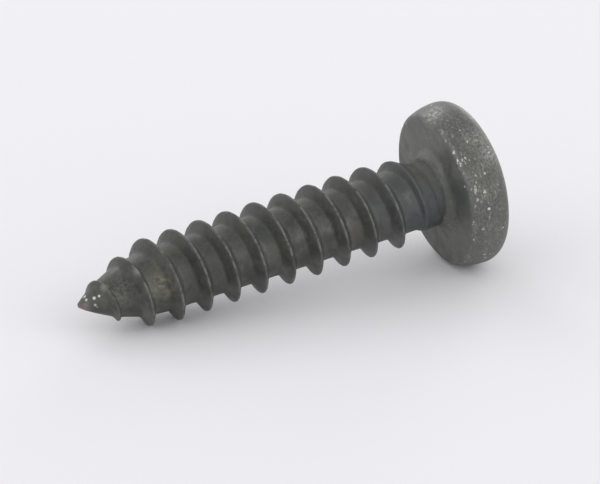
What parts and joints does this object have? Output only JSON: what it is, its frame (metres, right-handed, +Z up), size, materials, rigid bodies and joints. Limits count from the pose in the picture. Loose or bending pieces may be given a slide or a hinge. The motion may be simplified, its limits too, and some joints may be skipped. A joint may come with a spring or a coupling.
{
  "type": "self-tapping screw",
  "caption": "Self-tapping screw with a pan head, a cross recess, a coarse right-hand thread and a gimlet point, lying on its side.",
  "frame": {"origin": "centre of the bounding box's footprint, on the surface that the screw rests on", "axes": "+X towards the head and -X towards the point, with the screw's axis rising 6.9 degrees to the head; +Z up"},
  "size_m": [0.021, 0.0076, 0.0076],
  "materials": {
    "phosphated_steel": "dark grey phosphate coat over hardened carbon steel, matt"
  },
  "bodies": {
    "root": {"self_tapping_screw": "phosphated_steel"}
  },
  "joints": []
}
